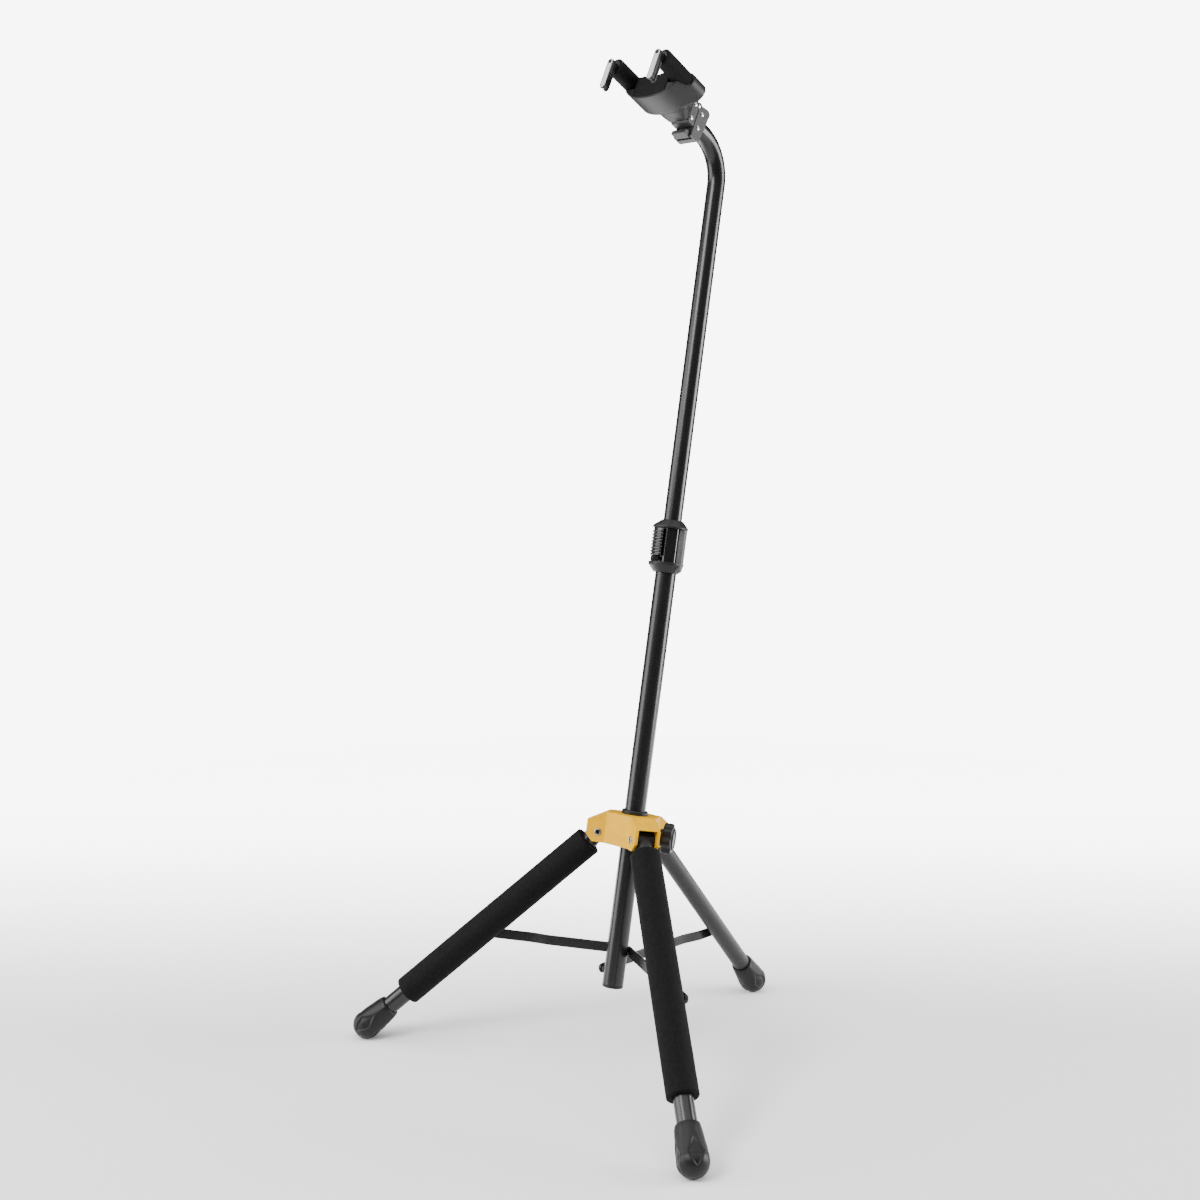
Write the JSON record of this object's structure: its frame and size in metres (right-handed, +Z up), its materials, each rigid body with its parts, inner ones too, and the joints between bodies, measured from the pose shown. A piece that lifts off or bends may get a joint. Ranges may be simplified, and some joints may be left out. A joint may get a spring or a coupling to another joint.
{
  "type": "guitar stand",
  "caption": "Folding tripod guitar stand with a leaning telescoping mast and a foam-armed neck yoke whose grip fingers close under the guitar's weight.",
  "frame": {"origin": "on the floor, in the middle of the footprint of the three feet", "axes": "+Z up; -Y is the front, where the yoke and the two padded legs point; +Y is the rear leg, towards which the mast leans"},
  "size_m": [0.556, 0.4828, 1.1782],
  "materials": {
    "mast_paint": "gloss black powder paint on steel",
    "leg_paint": "satin black paint on steel tube",
    "yellow_casting": "satin warm yellow paint on a die casting",
    "dark_plastic": "fine-textured dark grey moulded plastic",
    "grey_plastic": "satin mid grey moulded plastic",
    "gloss_plastic": "polished black plastic",
    "light_plastic": "light grey plastic inlay",
    "foot_rubber": "dark grey moulded rubber",
    "pad_rubber": "ribbed black rubber",
    "foam": "fine closed-cell black foam sleeve",
    "zinc_steel": "bright zinc-plated steel"
  },
  "bodies": {
    "mast_base": {"lower_mast_tube": "mast_paint", "mast_end_plug": "dark_plastic", "clutch_housing": "gloss_plastic", "clutch_collar": "dark_plastic", "clutch_lever_pin": "zinc_steel", "clutch_wedge_ring": "zinc_steel", "clutch_spring": "zinc_steel", "spreader_mast_rivet_left": "mast_paint", "spreader_mast_rivet_right": "mast_paint", "spreader_mast_rivet_rear": "mast_paint"},
    "clutch_grip": {"clutch_lever": "dark_plastic"},
    "hub": {"hub_casting": "yellow_casting", "hub_bushing": "grey_plastic", "leg_pin_left": "zinc_steel", "leg_pin_right": "zinc_steel", "leg_pin_rear": "zinc_steel"},
    "knob": {"lock_knob": "dark_plastic", "lock_screw": "zinc_steel"},
    "leg_left": {"leg_tube_left": "mast_paint", "leg_tongue_left": "dark_plastic", "leg_foam_left": "foam", "foot_left": "foot_rubber"},
    "leg_right": {"leg_tube_right": "mast_paint", "leg_tongue_right": "dark_plastic", "leg_foam_right": "foam", "foot_right": "foot_rubber"},
    "leg_rear": {"leg_tube_rear": "leg_paint", "leg_tongue_rear": "dark_plastic", "foot_rear": "foot_rubber"},
    "strap_left": {"spreader_left": "mast_paint", "spreader_leg_rivet_left": "mast_paint"},
    "strap_right": {"spreader_right": "mast_paint", "spreader_leg_rivet_right": "mast_paint"},
    "strap_rear": {"spreader_rear": "mast_paint", "spreader_leg_rivet_rear": "mast_paint"},
    "mast_guide": {"mast_guide_bush": "dark_plastic"},
    "upper_mast": {"upper_mast_tube": "mast_paint"},
    "yoke_base": {"hinge_lower_block": "grey_plastic", "hinge_pin": "zinc_steel", "lower_hinge_screw_1": "zinc_steel", "lower_hinge_screw_2": "zinc_steel"},
    "latch": {"hinge_latch": "grey_plastic"},
    "yoke_hinge": {"hinge_upper_block": "grey_plastic", "upper_hinge_screw_1": "zinc_steel", "upper_hinge_screw_2": "zinc_steel", "yoke_spring": "zinc_steel"},
    "cradle": {"yoke_cradle": "grey_plastic", "yoke_deck_plate": "grey_plastic", "neck_pad": "pad_rubber", "arm_core_left": "mast_paint", "arm_core_right": "mast_paint", "arm_foam_left": "foam", "arm_foam_right": "foam"},
    "finger_left": {"grip_finger_left": "dark_plastic", "finger_face_left": "light_plastic", "finger_shaft_left": "dark_plastic"},
    "finger_right": {"grip_finger_right": "dark_plastic", "finger_face_right": "light_plastic", "finger_shaft_right": "dark_plastic"}
  },
  "joints": [
    {"name": "hub_slide", "type": "slide", "parent": "mast_base", "child": "hub", "axis": [0, 0.1908, 0.9816], "range_m": [0, 0.232]},
    {"name": "lock_turn", "type": "hinge", "parent": "hub", "child": "knob", "pos_m": [0.0381, -0.0002, 0.26379], "axis": [0.866, 0.4908, -0.0954], "range_deg": [0, 360]},
    {"name": "leg_left_fold", "type": "hinge", "parent": "hub", "child": "leg_left", "pos_m": [-0.03412, -0.04165, 0.26909], "axis": [0.5, -0.8501, 0.1652], "range_deg": [0, 38.7]},
    {"name": "leg_right_fold", "type": "hinge", "parent": "hub", "child": "leg_right", "pos_m": [0.03412, -0.04165, 0.26909], "axis": [0.5, 0.8501, -0.1652], "range_deg": [0, 38.7]},
    {"name": "leg_rear_fold", "type": "hinge", "parent": "hub", "child": "leg_rear", "pos_m": [0, 0.01637, 0.25782], "axis": [-1, 0, 0], "range_deg": [0, 39.9]},
    {"name": "strap_left_fold", "type": "hinge", "parent": "mast_base", "child": "strap_left", "pos_m": [0, -0.04889, 0.12859], "axis": [-0.5, 0.8501, -0.1652], "range_deg": [0, 75.5]},
    {"name": "strap_right_fold", "type": "hinge", "parent": "mast_base", "child": "strap_right", "pos_m": [0, -0.04889, 0.12859], "axis": [-0.5, -0.8501, 0.1652], "range_deg": [0, 75.5]},
    {"name": "strap_rear_fold", "type": "hinge", "parent": "mast_base", "child": "strap_rear", "pos_m": [0, -0.05375, 0.10356], "axis": [1, 0, 0], "range_deg": [0, 57.1]},
    {"name": "clutch_squeeze", "type": "hinge", "parent": "mast_base", "child": "clutch_grip", "pos_m": [-0.01287, 0.02921, 0.59781], "axis": [-0.7071, 0.6941, -0.1349], "range_deg": [0, 3.2], "stiffness_Nm_per_rad": 3, "springref_deg": -4.58},
    {"name": "mast_height", "type": "slide", "parent": "mast_base", "child": "mast_guide", "axis": [0, 0.1908, 0.9816], "range_m": [-0.29, 0]},
    {"name": "mast_swivel", "type": "hinge", "parent": "mast_guide", "child": "upper_mast", "pos_m": [0, 0.04136, 0.5929], "axis": [0, 0.1908, 0.9816], "range_deg": [-90, 90]},
    {"name": "yoke_swivel", "type": "hinge", "parent": "upper_mast", "child": "yoke_base", "pos_m": [0, 0.10009, 1.10476], "axis": [0, -0.8988, 0.4384], "range_deg": [-25, 25]},
    {"name": "latch_press", "type": "hinge", "parent": "yoke_base", "child": "latch", "pos_m": [0, 0.07194, 1.1018], "axis": [1, 0, 0], "range_deg": [0, 8], "stiffness_Nm_per_rad": 0.5, "springref_deg": -11.46},
    {"name": "yoke_fold", "type": "hinge", "parent": "yoke_base", "child": "yoke_hinge", "pos_m": [0, 0.08082, 1.13141], "axis": [-1, 0, 0], "range_deg": [0, 90]},
    {"name": "cradle_drop", "type": "slide", "parent": "yoke_hinge", "child": "cradle", "axis": [0, -0.4384, -0.8988], "range_m": [0, 0.007], "stiffness_N_per_m": 1500, "springref_m": -0.008, "deforming": ["yoke_spring"]},
    {"name": "finger_left_turn", "type": "hinge", "parent": "cradle", "child": "finger_left", "pos_m": [-0.0355, -0.02088, 1.17155], "axis": [0, -0.8988, 0.4384], "range_deg": [0, 88.5]},
    {"name": "finger_right_turn", "type": "hinge", "parent": "cradle", "child": "finger_right", "pos_m": [0.0355, -0.02088, 1.17155], "axis": [0, 0.8988, -0.4384], "range_deg": [0, 88.5]}
  ],
  "couplings": [
    {"joint": "leg_left_fold", "follows": "hub_slide", "rad_per_m": 2.9102},
    {"joint": "leg_right_fold", "follows": "hub_slide", "rad_per_m": 2.9102},
    {"joint": "leg_rear_fold", "follows": "hub_slide", "rad_per_m": 2.9953},
    {"joint": "strap_left_fold", "follows": "hub_slide", "rad_per_m": 5.6768},
    {"joint": "strap_right_fold", "follows": "hub_slide", "rad_per_m": 5.6768},
    {"joint": "strap_rear_fold", "follows": "hub_slide", "rad_per_m": 4.2921},
    {"joint": "finger_left_turn", "follows": "cradle_drop", "rad_per_m": 219.41},
    {"joint": "finger_right_turn", "follows": "cradle_drop", "rad_per_m": 219.41}
  ]
}
